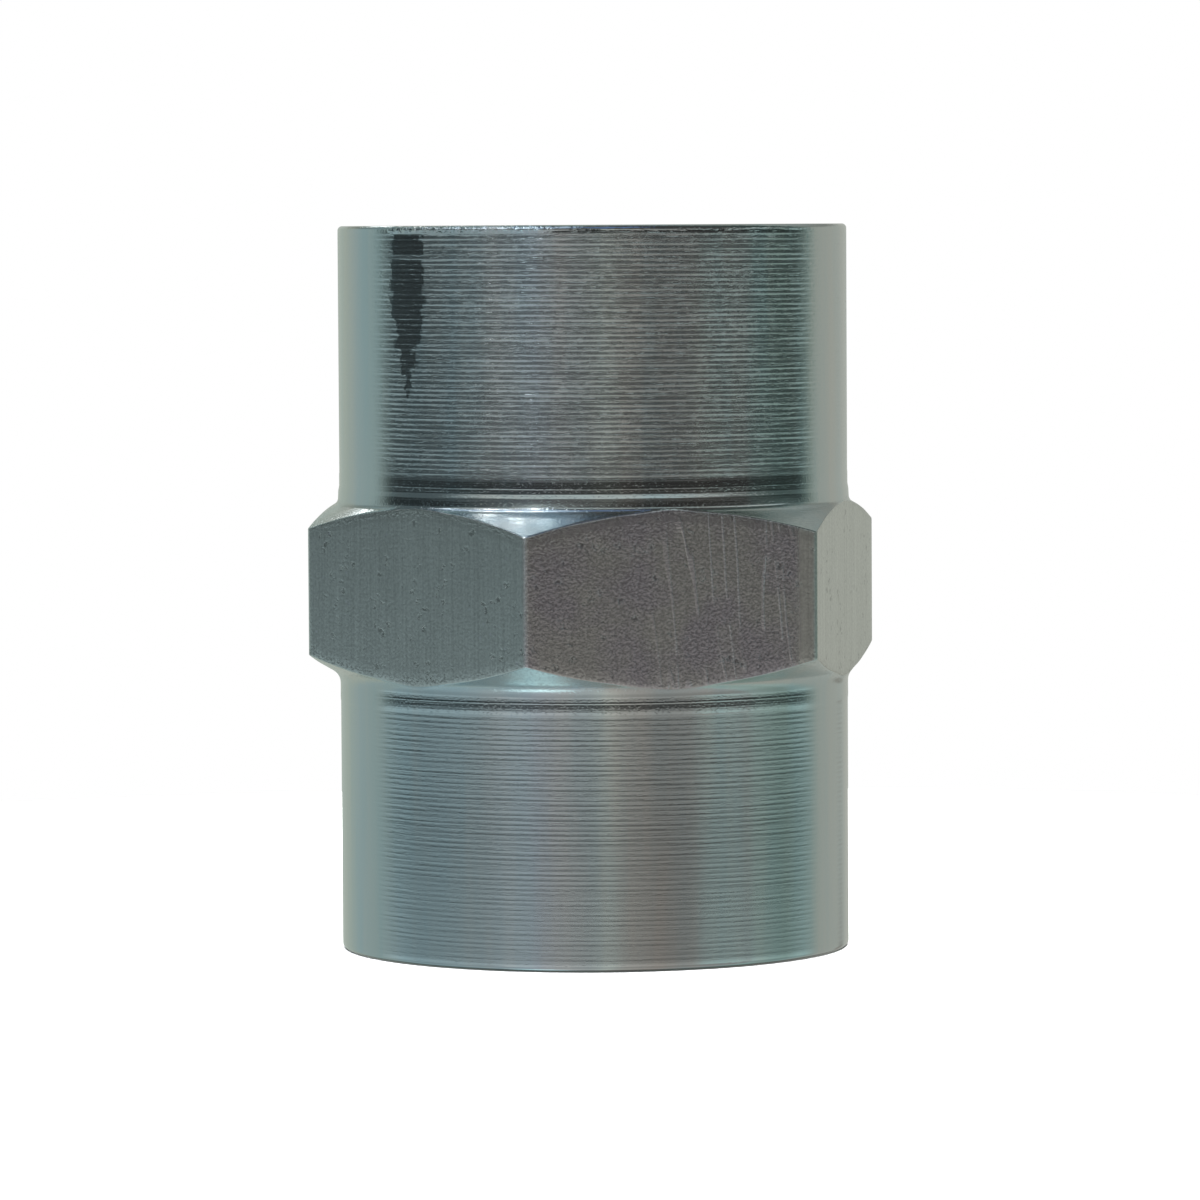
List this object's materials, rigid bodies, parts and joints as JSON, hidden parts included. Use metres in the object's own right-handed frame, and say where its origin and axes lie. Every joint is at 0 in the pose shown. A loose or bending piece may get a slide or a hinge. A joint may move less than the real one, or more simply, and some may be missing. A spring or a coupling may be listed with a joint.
{
  "type": "female pipe connector",
  "caption": "Short round steel coupling with a hexagonal spanner band at mid-length and a female tapered pipe thread in each end, joined by a plain passage.",
  "frame": {"origin": "centre of the lower end face, on the bore axis", "axes": "+Z along the bore axis from the lower end to the upper end; +Y and -Y are normal to two of the six flats"},
  "size_m": [0.0328, 0.0286, 0.0402],
  "materials": {
    "zinc_steel": "satin"
  },
  "bodies": {
    "root": {"connector_body": "zinc_steel"}
  },
  "joints": []
}
